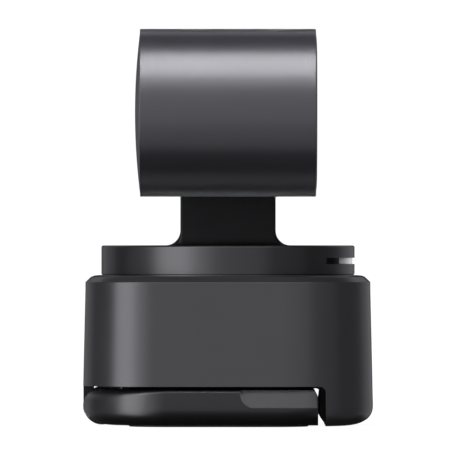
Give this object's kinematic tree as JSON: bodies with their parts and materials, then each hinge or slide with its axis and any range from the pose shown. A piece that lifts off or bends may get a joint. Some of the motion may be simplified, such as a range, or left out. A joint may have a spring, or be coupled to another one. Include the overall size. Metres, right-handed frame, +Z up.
{
  "type": "gimbal webcam",
  "caption": "compact desk webcam: a cylindrical camera head on a single motorised tilt arm and pan turntable, over a rounded-square base with a front lip and a folding clip leg",
  "frame": {"origin": "on the resting plane (the underside of the foot pad), on the pan axis, at the centre of the base", "axes": "+X is the way the lens looks, +Z is up along the pan axis, +Y is the side the arm stands on; the tilt axis is parallel to Y"},
  "size_m": [0.0463, 0.0462, 0.0635],
  "materials": {
    "graphite_shell": "satin dark grey moulded shell with a fine texture",
    "head_metal": "semi-gloss dark grey painted aluminium",
    "black_plastic": "matt black moulded plastic",
    "front_glass": "smooth dark cover glass",
    "lens_glass": "coated optical glass",
    "filter_glass": "coated infrared filter glass",
    "light_guide": "frosted white translucent plastic",
    "rubber": "matt black silicone rubber",
    "steel": "plain bright steel",
    "magnet": "nickel-plated magnet",
    "aluminium": "bare machined aluminium",
    "brass": "turned brass",
    "copper": "enamelled copper winding",
    "circuit_board": "printed circuit board with dark green mask",
    "sensor": "image sensor package with a glossy face"
  },
  "bodies": {
    "base": {"base_shell": "graphite_shell", "base_floor": "black_plastic", "base_screws": "steel", "base_pad": "rubber", "lip_pad": "rubber", "pan_motor_mount": "aluminium", "pan_stator": "steel", "pan_windings": "copper", "pan_bearings": "steel", "main_board": "circuit_board", "usb_c_port": "steel", "microphones": "steel", "hinge_bracket": "black_plastic"},
    "leg": {"leg_shell": "graphite_shell", "leg_cover": "black_plastic", "leg_screws": "steel", "foot_pad": "rubber", "tripod_insert": "brass", "leg_magnets": "magnet", "hinge_pin": "steel", "hinge_washers": "steel"},
    "yoke": {"turntable_shell": "graphite_shell", "turntable_plate": "black_plastic", "turntable_screws": "steel", "light_guide": "light_guide", "status_led_board": "circuit_board", "arm_shell": "black_plastic", "arm_cover": "black_plastic", "arm_screws": "steel", "tilt_stator": "steel", "tilt_windings": "copper", "tilt_bearings": "steel", "pan_rotor": "steel", "pan_magnets": "magnet", "pan_shaft": "steel", "gimbal_wires": "black_plastic"},
    "head": {"head_barrel": "head_metal", "rear_cap": "black_plastic", "front_glass": "front_glass", "front_mask": "black_plastic", "front_bezel": "black_plastic", "focus_magnets": "magnet", "lens_base": "black_plastic", "ir_filter": "filter_glass", "image_sensor": "sensor", "sensor_board": "circuit_board", "head_frame": "aluminium", "head_heatsink": "aluminium", "processor_board": "circuit_board", "head_screws": "steel", "tilt_hub": "aluminium", "tilt_shaft": "steel", "tilt_rotor": "steel", "tilt_magnets": "magnet"},
    "lens": {"lens_barrel": "black_plastic", "lens_front_element": "lens_glass", "lens_inner_elements": "lens_glass", "aperture_ring": "black_plastic", "focus_coil": "copper"}
  },
  "joints": [
    {"name": "pan", "type": "hinge", "parent": "base", "child": "yoke", "pos_m": [0, 0, 0.024], "axis": [0, 0, 1], "range_deg": [-150, 150]},
    {"name": "tilt", "type": "hinge", "parent": "yoke", "child": "head", "pos_m": [0, 0.0105, 0.05006], "axis": [0, 1, 0], "range_deg": [-60, 90]},
    {"name": "leg_fold", "type": "hinge", "parent": "base", "child": "leg", "pos_m": [-0.0201, 0, 0.0032], "axis": [0, 1, 0], "range_deg": [0, 120]},
    {"name": "focus", "type": "slide", "parent": "head", "child": "lens", "axis": [1, 0, 0], "range_m": [-0.0002, 0.0004], "stiffness_N_per_m": 60}
  ]
}
